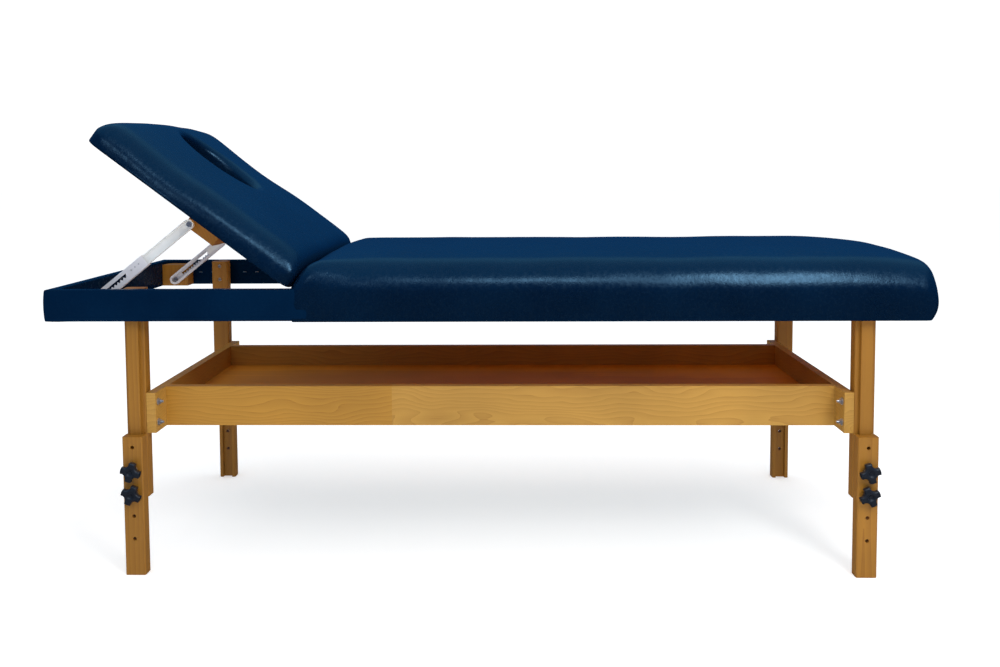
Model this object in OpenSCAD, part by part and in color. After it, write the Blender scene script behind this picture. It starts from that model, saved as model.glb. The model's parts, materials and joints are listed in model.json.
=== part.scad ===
// A fixed treatment table: a wooden frame on four legs that lengthen, a shelf, a padded top
// and a padded head section that tilts on two ratchet struts.
// The head end is towards -X, the front is towards -Y, and the floor is at z = 0.

/* [Top] */
// Width over the vinyl
table_w = 710; // [660:5:760]
// From the head hinge to the outside of the tray's head end
tray_l = 520; // [500:2:560]
// From the head hinge to the foot end of the cushion
main_l = 1368; // [1280:4:1440]
// Height of the frame's underside above the floor
frame_z = 554; // [540:2:580]
// Thickness of the vinyl with its backing
cover_t = 1.5; // [1.2:0.1:1.8]
// Width of the hem that is turned under the frame
hem_w = 8; // [6:0.5:9]
// Corner radius of the padded top, seen from above
top_corner_r = 24; // [18:1:26]

/* [Frame] */
// Depth of the frame rails
rail_h = 66; // [62:1:72]
// Thickness of the frame rails
rail_t = 20; // [18:0.5:22]
// Padding beyond the foot rail
foot_pad = 39.5; // [36:0.5:46]
// Depth of the cross rail in the middle
mid_rail_h = 46; // [36:1:56]

/* [Legs] */
// Width of the legs along the table
leg_w = 44; // [40:1:48]
// Thickness of the lower leg across the table
leg_t = 30; // [28:0.5:34]
// Height of the lower leg
leg_h = 303; // [298:1:310]
// Thickness of the upper post across the table
post_t = 30; // [26:0.5:34]
// Height of the post's lower end above the floor
post_z = 163; // [150:1:170]
// Width of the tongue on the post
tongue_w = 24; // [20:0.5:28]
// Distance from the head end of the tray to the middle of the head legs
head_leg_in = 181; // [170:1:200]
// Distance from the foot end of the cushion to the middle of the foot legs
foot_leg_in = 140; // [132:1:180]
// Height of the lowest hole in the lower leg
hole_z = 80; // [70:1:84]
// Distance between the holes in the lower leg
hole_pitch = 50; // [46:1:52]
// Radius of the long edges of the legs
leg_edge_r = 4; // [2:0.5:6]

/* [Leg bolts and knobs] */
// Diameter of the leg bolts
bolt_d = 8; // [6:0.5:9]
// Radius of a star knob over its lobes
knob_r = 21.5; // [18:0.5:23]
// Thickness of a star knob's lobes
knob_t = 13; // [10:0.5:15]
// Height of the collar under a star knob
knob_collar = 5; // [3:0.5:7]
// Thickness of the washers
washer_t = 1.6; // [1.2:0.1:2]

/* [Shelf] */
// Height of the shelf's underside
shelf_z = 304; // [300:1:340]
// Depth of the shelf's boards
shelf_h = 88; // [80:1:100]
// Thickness of the shelf's boards
shelf_t = 20; // [18:0.5:22]
// How far the shelf's long boards stand inside the posts' inner faces
shelf_in = 34.7; // [20:0.1:50]
// Height of the shelf's panel above its underside
panel_up = 29; // [22:1:40]
// Thickness of the shelf's panel
panel_t = 6; // [5:0.5:8]
// How deep the panel sits in its grooves
panel_in = 7; // [5:0.5:9]

/* [Cushions] */
// Thickness of the plywood boards under the foam
deck_t = 12; // [10:0.5:14]
// How far the main deck stands in from the frame's sides
deck_in = 7; // [6.5:0.5:12]
// Height of the main cushion over the frame, at its crown
main_crown = 76; // [70:1:82]
// How much lower the main cushion is at its long edges
main_edge_drop = 19; // [12:1:22]
// How much lower the main cushion is at its foot end
main_foot_drop = 15; // [8:1:30]
// Length of the slope at the foot end
foot_slope_l = 200; // [160:5:320]
// How far the foot end leans in at the top
foot_lean = 12; // [8:1:26]
// How far the foot end tucks in at the bottom
foot_tuck = 15; // [8:1:16]
// Height of the rounded upper edge of the cushions
round_h = 36; // [30:1:38]
// Width of the rounded upper edge of the cushions
round_w = 46; // [36:1:60]
// Thickness of the head cushion with its board, at its crown
head_crown = 76; // [68:1:82]
// How much lower the head cushion is at its long edges
head_edge_drop = 12; // [6:1:16]
// How much lower the head cushion is at its two ends
head_end_drop = 3; // [1:1:12]

/* [Head section] */
// Length of the head section beyond the hinge
head_l = 530; // [500:1:536]
// Angle of the head section as it stands
head_tilt = 37; // [30:0.5:38]
// Where the middle of the face hole lies, as a share of the head section's length
hole_at_share = 0.6755; // [0.62:0.0005:0.68]
// Length of the face hole, as a share of the head section's length
hole_long_share = 0.4075; // [0.37:0.0005:0.41]
// Width of the face hole
hole_w = 152; // [120:2:180]
// Radius of the soft rim round the face hole
hole_rim = 14; // [10:1:16]
// Width of the batten under the head board
batten_w = 78; // [60:1:86]
// Depth of the batten
batten_t = 46; // [42:1:50]
// Distance from the hinge to the middle of the batten
batten_s = 238; // [232:1:242]

/* [Struts] */
// Width of a strut's outer channel
channel_w = 26; // [24:0.5:28]
// Depth of a strut's outer channel
channel_d = 13.5; // [12:0.5:15]
// Thickness of the strut's steel
steel_t = 1.5; // [1.2:0.1:1.8]
// Length of the outer channel
channel_l = 182; // [170:1:190]
// How far the sliding rail reaches into the channel as the head section stands
slide_in = 73.7; // [60:0.1:90]
// How far the pivots lie from a strut's ends
pivot_end = 10; // [8:0.5:12]
// Distance from the hinge to the upper pivot
top_pivot_s = 265; // [258:1:268]
// Depth of the upper pivot under the head board
top_pivot_down = 34; // [30:0.5:38]
// Distance from the inside of the head rail to the lower pivot
low_pivot_in = 40; // [34:1:44]
// Height of the lower pivot over the frame's underside
low_pivot_up = 18; // [16:0.5:24]
// Radius of the pivot screws
pivot_r = 3; // [2.5:0.1:3.5]
// Length of the spacer on a strut's upper screw
spacer_l = 14.2; // [10:0.2:18]
// Room between a strut and the legs' posts
strut_room = 9; // [6:0.5:12]
// Length of the blocks that carry the struts
block_l = 72; // [64:1:80]
// Number of teeth in a channel
teeth = 11; // [8:1:12]

/* [Hinges] */
// Length of a hinge
hinge_l = 80; // [60:2:100]
// Width of a hinge leaf
leaf_w = 34; // [26:1:40]
// Distance of the hinges from the middle of the table
hinge_y = 230; // [180:5:260]

/* [Hidden] */
$fn = 48;

pine = [0.72, 0.52, 0.29];
plywood = [0.58, 0.36, 0.2];
navy = [0.03, 0.12, 0.22];
sponge = [0.9, 0.87, 0.72];
zinc = [0.8, 0.8, 0.82];
black = [0.09, 0.1, 0.12];

// One overrun serves every cut
over = 1;
// Room between faces that slide past each other
slide_gap = 0.3;
// Room round a screw or bolt in its hole
drill_gap = 0.1;
// Room round a shaft that turns
run_gap = 0.05;

// Places along the table, from the middle of its length
overall_l = tray_l + main_l;
head_x = -overall_l / 2;
foot_x = overall_l / 2;
hinge_x = head_x + tray_l;
head_leg_x = head_x + head_leg_in;
foot_leg_x = foot_x - foot_leg_in;

// The wooden frame
frame_hw = table_w / 2 - cover_t;
rail_in_y = frame_hw - rail_t;
frame_head_x = head_x + cover_t;
frame_foot_x = foot_x - cover_t - foot_pad;
frame_top = frame_z + rail_h;
cover_low_z = frame_z - cover_t;

// The hinge: its axis lies one knuckle radius under the head board
knuckle_r = 4;
leaf_t = 2;
hinge_pin_r = 1.8;
hinge_z = frame_top;
board_z = hinge_z + knuckle_r;
hinge_rail_x = hinge_x + knuckle_r;

// Legs: the lower leg stands outside, the post inside it
leg_in_y = frame_hw - leg_t;
post_out_y = leg_in_y - slide_gap;
post_in_y = post_out_y - post_t;
bolt_r = bolt_d / 2;
hole_count = 5;
bolt_holes = [2, 3];
bolt_zs = [for (i = bolt_holes) hole_z + i * hole_pitch];
slot_r = bolt_r + slide_gap;
slot_top = bolt_zs[1] + hole_pitch;
bolt_head_share = 2.4;
bolt_head_t_share = 0.9;
washer_share = 2.6;
bolt_head_r = bolt_head_share * bolt_r;
bolt_head_t = bolt_head_t_share * bolt_r;
washer_r = washer_share * bolt_r;

// The screws that hold the posts to the rails
post_screw_r = 2.6;
post_screw_head_r = 5;
post_screw_down = 13;
post_screw_up = 16;
post_screw_zs = [frame_top - post_screw_down, frame_z + post_screw_up];
post_screw_in = 12;
recess_share = 0.6;

// Shelf
shelf_head_x = head_leg_x + leg_w / 2;
shelf_foot_x = foot_leg_x - leg_w / 2;
shelf_hw = post_in_y - shelf_in;
shelf_bolt_r = 3;
shelf_bolt_y = (post_in_y + post_out_y) / 2;
shelf_bolt_up = 21;
shelf_bolt_pitch = 45;
shelf_bolt_zs = [shelf_z + shelf_bolt_up, shelf_z + shelf_bolt_up + shelf_bolt_pitch];
shelf_bolt_in = 25;
shelf_bolt_out = 12;
shelf_nut_r = 5.8;
shelf_nut_t = 5;
shelf_washer_r = 8;
panel_gap = 0.2;

// Struts lie between the head batten and the posts
strut_y = post_in_y - strut_room;
channel_in_y = strut_y - channel_d;
strut_spacer_t = 2;
block_in_y = strut_y + strut_spacer_t;
slide_out_y = strut_y - steel_t - slide_gap;
slide_in_y = channel_in_y + steel_t + slide_gap;
batten_l = 2 * (slide_in_y - slide_gap - spacer_l);
low_pivot = [frame_head_x + rail_t + low_pivot_in, frame_z + low_pivot_up];
function on_head(s, up) = [
    hinge_x - s * cos(head_tilt) + (knuckle_r + up) * sin(head_tilt),
    hinge_z + s * sin(head_tilt) + (knuckle_r + up) * cos(head_tilt)
];
top_pivot = on_head(top_pivot_s, -top_pivot_down);
strut_run = top_pivot - low_pivot;
strut_l = norm(strut_run);
strut_tilt = atan2(strut_run[1], strut_run[0]);
slide_l = strut_l - channel_l + slide_in;
slide_w = channel_w - 2 * steel_t - 2 * slide_gap;
lip_w = 4;
bush_r = 5;

// How the cushions' outlines are stepped
corner_steps = 3;
side_steps = 7;
end_steps = 4;
ring_n = 4 * (corner_steps + 1) + 2 * (side_steps + 2) + 2 * end_steps;
round_steps = 4;
seam_gap = 0.1;

function lerp(a, b, t) = a + (b - a) * t;
function clamp(t) = min(1, max(0, t));
function ease(t) = clamp(t) * clamp(t) * (3 - 2 * clamp(t));
function arc(cx, cy, r, a) = [for (i = [0:corner_steps])
    [cx + r * cos(a + 90 * i / corner_steps), cy + r * sin(a + 90 * i / corner_steps)]];
function between(a, b, n) = [for (i = [1:n]) lerp(a, b, i / (n + 1))];
// A rounded rectangle drawn in by d, anticlockwise from its foot end; ra and rb are the
// corner radii at its head and foot ends
function shrink(r, hw, d) = max(r * (1 - d / hw), r / 8);
function outline(x0, x1, hw, ra, rb, d) = let (
    p = shrink(ra, hw, d), q = shrink(rb, hw, d), a = x0 + d, b = x1 - d, h = hw - d)
    concat(
        arc(b - q, h - q, q, 0), [[b - q - seam_gap, h]],
        between([b - q, h], [a + p, h], side_steps), [[a + p + seam_gap, h]],
        arc(a + p, h - p, p, 90), between([a, h - p], [a, p - h], end_steps),
        arc(a + p, p - h, p, 180),
        [[a + p + seam_gap, -h]], between([a + p, -h], [b - q, -h], side_steps), [[b - q - seam_gap, -h]],
        arc(b - q, q - h, q, 270), between([b, q - h], [b, h - q], end_steps));
// Points of the outline that belong to its head end
head_first = corner_steps + 1 + side_steps + 2;
head_last = head_first + 2 * corner_steps + 1 + end_steps;
function at_head(k) = k >= head_first && k <= head_last;
// Faces between rings of points, and fans that close the first and last ring
function wall(j, i, n) = [for (k = [0:n - 1]) for (side = [0, 1]) side == 0
    ? [j * n + k, i * n + k, i * n + (k + 1) % n]
    : [j * n + k, i * n + (k + 1) % n, j * n + (k + 1) % n]];
// The same with the other diagonal, so that an inner surface follows the outer one
function wall_back(j, i, n) = [for (k = [0:n - 1]) for (side = [0, 1]) side == 0
    ? [j * n + k, i * n + k, j * n + (k + 1) % n]
    : [i * n + k, i * n + (k + 1) % n, j * n + (k + 1) % n]];
function walls(rings, n, back_from, back_to) = [for (j = [0:rings - 2])
    each j >= back_from && j < back_to ? wall_back(j, j + 1, n) : wall(j, j + 1, n)];
function fan_in(c, n) = [for (k = [0:n - 1]) [c, k, (k + 1) % n]];
function fan_out(c, first, n) = [for (k = [0:n - 1]) [c, first + (k + 1) % n, first + k]];

// The main cushion: its crown falls to the long edges and slopes down at the foot end
belly_share = 0.6;
belly_z = frame_z + belly_share * rail_h;
crown_power = 2.4;
function main_top(x, y) = frame_top + main_crown
    - main_edge_drop * pow(abs(y) / frame_hw, crown_power)
    - main_foot_drop * pow(clamp((x - foot_x + foot_slope_l) / foot_slope_l), 2);
main_edge_z = frame_top + main_crown - main_edge_drop - round_h;
main_low_x = hinge_rail_x + slide_gap;
lean_room = 1;
main_lean = tan(head_tilt + lean_room);
function head_end_x(z) = main_low_x
    + max(0, min(z, frame_top + main_crown) - frame_top - cover_t) * main_lean;
function foot_end_in(z) = z > belly_z
    ? foot_lean * pow((z - belly_z) / (main_edge_z + round_h - belly_z), 2)
    : foot_tuck * pow((belly_z - z) / (belly_z - cover_low_z), 2);
function main_place(x, y, z) = let (
    t = (foot_x - x) / (foot_x - main_low_x),
    x1 = foot_x - t * (foot_x - head_end_x(z)))
    [x1 - foot_end_in(z) * ease((x - foot_x + foot_slope_l) / foot_slope_l), y, z];
seam_corner_r = top_corner_r / 3;
function main_outline(d) = outline(main_low_x, foot_x, table_w / 2, seam_corner_r, top_corner_r, d);
// A ring at a share of the way up the side, e inside the outer surface
function side_ring(e, inset, share, low) = let (
    o = main_outline(e + inset))
    [for (k = [0:ring_n - 1]) let (
        z0 = low && at_head(k) ? frame_top + cover_t + slide_gap + e : cover_low_z + e,
        z1 = main_top(o[k][0], o[k][1]) - round_h - e)
        main_place(o[k][0], o[k][1], lerp(z0, z1, share))];
// A ring on the rounded upper edge, a is 0 at the side and 90 at the top
function round_ring(e, a) = let (
    o = main_outline(e + (round_w - e) * (1 - cos(a))))
    [for (k = [0:ring_n - 1]) let (z = main_top(o[k][0], o[k][1]) - e - round_h * (1 - sin(a)))
        main_place(o[k][0], o[k][1], z)];
function top_ring(e, share) = let (
    o = main_outline(lerp(round_w, table_w / 2 - round_w, share)))
    [for (k = [0:ring_n - 1]) main_place(o[k][0], o[k][1], main_top(o[k][0], o[k][1]) - e)];
side_shares = [0.2, 0.5, 0.8];
top_shares = [0.35, 0.7, 1];
function main_rings(e, low) = concat(
    [side_ring(e, 0, 0, low)],
    [for (s = side_shares) side_ring(e, 0, s, low)],
    [for (i = [0:round_steps]) round_ring(e, 90 * i / round_steps)],
    [for (s = top_shares) top_ring(e, s)]);
function flip(rings) = [for (j = [len(rings) - 1:-1:0]) rings[j]];
function points_of(rings) = [for (r = rings) each r];
main_mid_x = (main_low_x + foot_x) / 2;

// A closed solid through rings of points and two middle points; the first inner rings run backwards
module loft(rings, inner, low, high) {
    n = ring_n;
    count = len(rings);
    polyhedron(
        points = concat(points_of(rings), [low, high]),
        faces = concat(walls(count, n, 0, inner - 1), fan_in(count * n, n),
            fan_out(count * n + 1, (count - 1) * n, n)));
}

module main_cover() {
    inside = flip(main_rings(cover_t, true));
    rings = concat(
        inside,
        [side_ring(cover_t, hem_w, 0, true)],
        [side_ring(0, hem_w + cover_t, 0, true)],
        main_rings(0, true));
    color(navy) loft(rings, len(inside),
        [main_mid_x, 0, main_top(main_mid_x, 0) - cover_t],
        [main_mid_x, 0, main_top(main_mid_x, 0)]);
}

module main_foam() {
    e = cover_t + slide_gap;
    color(sponge) difference() {
        loft(main_rings(e, false), 0,
            [main_mid_x, 0, cover_low_z + e], [main_mid_x, 0, main_top(main_mid_x, 0) - e]);
        translate([hinge_x - leaf_w, -table_w, frame_z - rail_h])
            cube([frame_foot_x + slide_gap - hinge_x + leaf_w, 2 * table_w, 2 * rail_h + slide_gap]);
        translate([0, 0, frame_top]) linear_extrude(deck_t + slide_gap) deck_plan(slide_gap);
        translate([hinge_x - leaf_w, -table_w, frame_top])
            cube([deck_head_x + board_corner_r - hinge_x + leaf_w, 2 * table_w, deck_t + slide_gap]);
    }
}

// The boards' corners are rounder than the vinyl's
board_corner_share = 1.25;
board_corner_r = board_corner_share * top_corner_r;
deck_head_x = head_end_x(frame_top + deck_t) + 2 * cover_t;
module deck_plan(gap) {
    translate([deck_head_x, deck_in - frame_hw]) offset(gap)
        round_rect(frame_foot_x - deck_head_x, 2 * (frame_hw - deck_in), board_corner_r);
}
module main_deck() {
    color(plywood) translate([0, 0, frame_top]) linear_extrude(deck_t) deck_plan(0);
}

// Bars and holes
module round_rect(x, y, r) {
    translate([r, 0]) square([x - 2 * r, y]);
    translate([0, r]) square([x, y - 2 * r]);
    for (cx = [r, x - r], cy = [r, y - r]) translate([cx, cy]) circle(r);
}
// A hole or bar along y: its start, radius and length
module along_y(x, y, z, r, l) {
    translate([x, y, z]) rotate([-90, 0, 0]) cylinder(r = r, h = l);
}
module along_x(x, y, z, r, l) {
    translate([x, y, z]) rotate([0, 90, 0]) cylinder(r = r, h = l);
}
module place_front(front) {
    mirror([0, front, 0]) children();
}

// The frame
module long_rail() {
    color(pine) difference() {
        translate([frame_head_x, rail_in_y, frame_z])
            cube([frame_foot_x - frame_head_x, rail_t, rail_h]);
        for (x = [head_leg_x, foot_leg_x], z = post_screw_zs)
            along_y(x, rail_in_y - over, z, post_screw_r + drill_gap, post_screw_in + over);
    }
}
module front_rail() place_front(1) long_rail();
module back_rail() long_rail();
module cross_rail(x, h, top) {
    color(pine) translate([x, -rail_in_y, top - h]) cube([rail_t, 2 * rail_in_y, h]);
}
module head_rail() cross_rail(frame_head_x, rail_h, frame_top);
module foot_rail() cross_rail(frame_foot_x - rail_t, rail_h, frame_top);
module mid_rail() cross_rail((hinge_x + foot_leg_x) / 2, mid_rail_h, frame_top);

hinge_screw_r = 2;
hinge_screw_l = 14;
hinge_screw_shares = [-0.36, 0, 0.36];
module hinge_rail() {
    color(pine) difference() {
        translate([hinge_rail_x, -rail_in_y, frame_z]) cube([rail_t, 2 * rail_in_y, rail_h]);
        for (s = [-1, 1], t = hinge_screw_shares)
            along_x(hinge_rail_x - over, s * hinge_y + t * hinge_l, hinge_z - leaf_w / 2,
                hinge_screw_r + drill_gap, hinge_screw_l + over);
    }
}

low_screw_in = 24;
block_drop = 8;
block_h = rail_h - block_drop;
module strut_block() {
    color(pine) difference() {
        translate([frame_head_x + rail_t, block_in_y, frame_z])
            cube([block_l, rail_in_y - block_in_y, block_h]);
        along_y(low_pivot[0], block_in_y - over, low_pivot[1], pivot_r + drill_gap, low_screw_in + over);
    }
}
module front_strut_block() place_front(1) strut_block();
module back_strut_block() strut_block();

// The vinyl is one band round the rails of the head tray, cut away where posts and blocks seat
tray_end_x = main_low_x + seam_corner_r;
module tray_cover() {
    color(navy) difference() {
        translate([head_x, -table_w / 2, cover_low_z]) linear_extrude(rail_h + 2 * cover_t)
            difference() {
                round_rect(tray_end_x - head_x + top_corner_r, table_w, seam_corner_r);
                translate([2 * cover_t + rail_t, 2 * cover_t + rail_t])
                    square([tray_l, 2 * (rail_in_y - cover_t)]);
                translate([tray_end_x - head_x, -over]) square([tray_l, table_w + 2 * over]);
            }
        for (s = [0, 1]) place_front(s) {
            translate([frame_head_x, rail_in_y, frame_z]) cube([tray_l + top_corner_r, rail_t, rail_h]);
            translate([head_leg_x - leg_w / 2, 0, cover_low_z - over])
                cube([leg_w, rail_in_y, rail_h * 2]);
            translate([frame_head_x + rail_t, block_in_y, frame_z])
                cube([block_l, rail_in_y - block_in_y, block_h]);
            translate([hinge_rail_x, 0, cover_low_z - over]) cube([tray_l, rail_in_y, rail_h * 2]);
        }
        translate([frame_head_x, -rail_in_y - over, frame_z]) cube([rail_t, 2 * rail_in_y + 2 * over, rail_h]);
    }
}

staple_l = 10;
staple_r = 0.6;
// Staples lie in the two stretches between a block, a post and the hinge rail
block_end_x = frame_head_x + rail_t + block_l;
post_head_x = head_leg_x - leg_w / 2;
post_foot_x = head_leg_x + leg_w / 2;
staple_head_shares = [0.25, 0.8];
staple_foot_shares = [0.1, 0.21, 0.36, 0.5, 0.65];
staple_xs = concat(
    [for (t = staple_head_shares) lerp(block_end_x, post_head_x, t)],
    [for (t = staple_foot_shares) lerp(post_foot_x, hinge_rail_x, t)]);
module tray_staples() {
    color(zinc) for (s = [0, 1], x = staple_xs)
        place_front(s) along_x(x, rail_in_y - cover_t - staple_r, (frame_z + frame_top) / 2, staple_r, staple_l);
}

// Upper post: a bar with a tongue that runs in the lower leg's groove
tongue_out_y = rail_in_y;
module post(x, front) {
    color(pine) difference() {
        place_front(front) translate([x, 0, post_z]) union() {
            translate([-leg_w / 2, post_in_y, 0]) linear_extrude(frame_top - post_z)
                round_rect(leg_w, post_t, leg_edge_r);
            translate([-tongue_w / 2, post_out_y - leg_edge_r, 0])
                cube([tongue_w, tongue_out_y - post_out_y + leg_edge_r, frame_top - post_z]);
        }
        place_front(front) {
            for (z = post_screw_zs)
                along_y(x, post_in_y - over, z, post_screw_r + drill_gap, 2 * post_t);
            translate([x - slot_r, post_in_y - over, post_z - over]) cube([2 * slot_r, 2 * post_t, slot_top - post_z + over]);
            along_y(x, post_in_y - over, slot_top, slot_r, 2 * post_t);
            inner = x < 0 ? x + leg_w / 2 - shelf_bolt_in : x - leg_w / 2 - over;
            for (z = shelf_bolt_zs)
                along_x(inner, shelf_bolt_y, z, shelf_bolt_r + drill_gap, shelf_bolt_in + over);
        }
    }
}
module head_front_post() post(head_leg_x, 1);
module head_back_post() post(head_leg_x, 0);
module foot_front_post() post(foot_leg_x, 1);
module foot_back_post() post(foot_leg_x, 0);

module post_screws() {
    color(zinc) for (x = [head_leg_x, foot_leg_x], front = [0, 1], z = post_screw_zs)
        place_front(front) {
            along_y(x, post_in_y - drill_gap, z, post_screw_r, tongue_out_y - post_in_y + post_screw_in);
            translate([x, post_in_y - drill_gap, z]) rotate([90, 0, 0]) difference() {
                cylinder(r1 = post_screw_head_r, r2 = recess_share * post_screw_head_r, h = post_screw_r);
                translate([0, 0, post_screw_r / 2]) cylinder(r = recess_share * post_screw_r, h = post_screw_r);
            }
        }
}

module lower_leg(x, front) {
    color(pine) place_front(front) translate([x, 0, 0]) difference() {
        translate([-leg_w / 2, leg_in_y, 0]) linear_extrude(leg_h) round_rect(leg_w, leg_t, leg_edge_r);
        translate([-tongue_w / 2 - slide_gap, leg_in_y - over, -over])
            cube([tongue_w + 2 * slide_gap, tongue_out_y - leg_in_y + slide_gap + over, leg_h + 2 * over]);
        for (i = [0:hole_count - 1])
            along_y(0, leg_in_y - over, hole_z + i * hole_pitch, bolt_r + drill_gap, leg_t + 2 * over);
    }
}
module head_front_leg() lower_leg(head_leg_x, 1);
module head_back_leg() lower_leg(head_leg_x, 0);
module foot_front_leg() lower_leg(foot_leg_x, 1);
module foot_back_leg() lower_leg(foot_leg_x, 0);

// Carriage bolts with a domed head inside and a washer outside
knob_cap = 4;
bolt_in_knob = knob_collar + knob_t - knob_cap;
module leg_bolts(x, front) {
    head_y = post_in_y - slide_gap;
    color(zinc) place_front(front) for (z = bolt_zs) {
        along_y(x, head_y - bolt_head_t / 2, z, bolt_r, frame_hw + washer_t + bolt_in_knob - head_y + bolt_head_t / 2);
        translate([x, head_y, z]) rotate([90, 0, 0]) cylinder(r1 = bolt_head_r, r2 = bolt_r, h = bolt_head_t);
        translate([x, frame_hw, z]) rotate([-90, 0, 0]) difference() {
            cylinder(r = washer_r, h = washer_t);
            translate([0, 0, -over]) cylinder(r = bolt_r, h = washer_t + 2 * over);
        }
    }
}
module head_front_bolts() leg_bolts(head_leg_x, 1);
module head_back_bolts() leg_bolts(head_leg_x, 0);
module foot_front_bolts() leg_bolts(foot_leg_x, 1);
module foot_back_bolts() leg_bolts(foot_leg_x, 0);

// Star knob with four blunt lobes and a blind threaded bore
knob_lobes = 4;
scallop_share = 0.44;
scallop_at_share = 1.06;
knob_turns = [66, 74];
module knob(x, i, front) {
    color(black) place_front(front)
        translate([x, frame_hw + washer_t + slide_gap / 2, bolt_zs[i]]) rotate([-90, 0, 0]) difference() {
            union() {
                cylinder(r = knob_r / 2, h = knob_collar + knob_t / 2);
                translate([0, 0, knob_collar]) linear_extrude(knob_t) difference() {
                    circle(knob_r);
                    for (a = [0:knob_lobes - 1])
                        rotate(360 * (a + 1 / 2) / knob_lobes + (x < 0 ? -knob_turns[i] : knob_turns[i]))
                            translate([scallop_at_share * knob_r, 0]) circle(scallop_share * knob_r);
                }
            }
            translate([0, 0, -over]) cylinder(r = bolt_r + run_gap, h = bolt_in_knob + 2 * over);
            cylinder(r = bolt_r / 2, h = knob_collar + knob_t + over);
        }
}
module head_front_upper_knob() knob(head_leg_x, 1, 1);
module head_front_lower_knob() knob(head_leg_x, 0, 1);
module head_back_upper_knob() knob(head_leg_x, 1, 0);
module head_back_lower_knob() knob(head_leg_x, 0, 0);
module foot_front_upper_knob() knob(foot_leg_x, 1, 1);
module foot_front_lower_knob() knob(foot_leg_x, 0, 1);
module foot_back_upper_knob() knob(foot_leg_x, 1, 0);
module foot_back_lower_knob() knob(foot_leg_x, 0, 0);

// Shelf
module panel_groove(gap) {
    translate([shelf_head_x + shelf_t - panel_in - gap, -shelf_hw + shelf_t - panel_in - gap,
        shelf_z + panel_up - gap])
        cube([shelf_foot_x - shelf_head_x - 2 * (shelf_t - panel_in - gap),
            2 * (shelf_hw - shelf_t + panel_in + gap), panel_t + 2 * gap]);
}
module shelf_panel() color(plywood) panel_groove(0);
module shelf_long() {
    color(pine) difference() {
        translate([shelf_head_x + shelf_t, shelf_hw - shelf_t, shelf_z])
            cube([shelf_foot_x - shelf_head_x - 2 * shelf_t, shelf_t, shelf_h]);
        panel_groove(panel_gap);
    }
}
module shelf_front() place_front(1) shelf_long();
module shelf_back() shelf_long();
module shelf_end(x) {
    color(pine) difference() {
        translate([x, -post_out_y, shelf_z]) cube([shelf_t, 2 * post_out_y, shelf_h]);
        panel_groove(panel_gap);
        for (s = [-1, 1], z = shelf_bolt_zs)
            along_x(x - over, s * shelf_bolt_y, z, shelf_bolt_r + drill_gap, shelf_t + 2 * over);
    }
}
module shelf_head() shelf_end(shelf_head_x);
module shelf_foot() shelf_end(shelf_foot_x - shelf_t);
module shelf_bolt() {
    cylinder(r = shelf_bolt_r, h = shelf_bolt_in + shelf_t + shelf_bolt_out - 2 * over);
    translate([0, 0, shelf_bolt_in + shelf_t - 2 * over + drill_gap]) cylinder(r = shelf_washer_r, h = washer_t);
    translate([0, 0, shelf_bolt_in + shelf_t - 2 * over + drill_gap + washer_t]) cylinder(r = shelf_nut_r, h = shelf_nut_t, $fn = 6);
}
module shelf_bolts() {
    color(zinc) for (s = [-1, 1], z = shelf_bolt_zs) {
        translate([shelf_head_x - shelf_bolt_in + 2 * over, s * shelf_bolt_y, z]) rotate([0, 90, 0]) shelf_bolt();
        translate([shelf_foot_x + shelf_bolt_in - 2 * over, s * shelf_bolt_y, z]) rotate([0, -90, 0]) shelf_bolt();
    }
}

// Head section, drawn flat from the hinge axis and then tilted
module raised() translate([hinge_x, 0, hinge_z]) rotate([0, head_tilt, 0]) children();
head_over = 2;
hole_x = -head_l * hole_at_share;
hole_l = head_l * hole_long_share;
head_out = cover_t + slide_gap;
function head_top(x, y) = knuckle_r + head_crown
    - head_edge_drop * pow(abs(y) / frame_hw, crown_power)
    - head_end_drop * pow(abs(x + head_l / 2) / (head_l / 2), 4);
function head_outline(d) = outline(-head_l, head_over, table_w / 2, top_corner_r, top_corner_r / 2, d);
// The points of the face hole, grown by d, in step with the points of the outline
function hole_outline(d) = [for (k = [0:ring_n - 1]) let (turn = 360 * (k + (end_steps + 1) / 2) / ring_n)
    [hole_x + (hole_l / 2 + d) * cos(turn), (hole_w / 2 + d) * sin(turn)]];
// The hinge end of the cover stops above the hinge; elsewhere it turns under the board
function at_hinge(k) = k <= corner_steps || k >= ring_n - corner_steps - 1 - end_steps;
function head_low(k, e) = (at_hinge(k) ? knuckle_r + slide_gap : knuckle_r - cover_t - run_gap) + e;
function lift(o, rise, e) = [for (p = o) [p[0], p[1], head_top(p[0], p[1]) - e - rise]];
function head_low_ring(d, e) = let (o = head_outline(d)) [for (k = [0:ring_n - 1])
    [o[k][0], o[k][1], head_low(k, e)]];
function level(o, z) = [for (p = o) [p[0], p[1], z]];
head_round_h = round_h + round_h / 6;
function head_round(e, a) = lift(head_outline(e + (round_w - e) * (1 - cos(a))), head_round_h * (1 - sin(a)), e);
function hole_round(e, a) = lift(hole_outline(e + (hole_rim - e) * (1 - cos(a))), hole_rim * (1 - sin(a)), e);
function head_top_ring(e, share) = let (a = head_outline(round_w), b = hole_outline(hole_rim))
    lift([for (k = [0:ring_n - 1]) lerp(a[k], b[k], share)], 0, e);
head_top_shares = [0.35, 0.7];
hole_steps = 3;
// From the lower edge of the side over the top and down into the hole
function head_rings(e) = concat(
    [for (i = [0:round_steps]) head_round(e, 90 * i / round_steps)],
    [for (s = head_top_shares) head_top_ring(e, s)],
    [for (i = [hole_steps:-1:0]) hole_round(e, 90 * i / hole_steps)]);

// A closed band of rings, such as a pad with a hole through it
module band(rings, back_from, back_to) {
    n = ring_n;
    polyhedron(points = points_of(rings),
        faces = concat(walls(len(rings), n, back_from, back_to), wall(len(rings) - 1, 0, n)));
}

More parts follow.
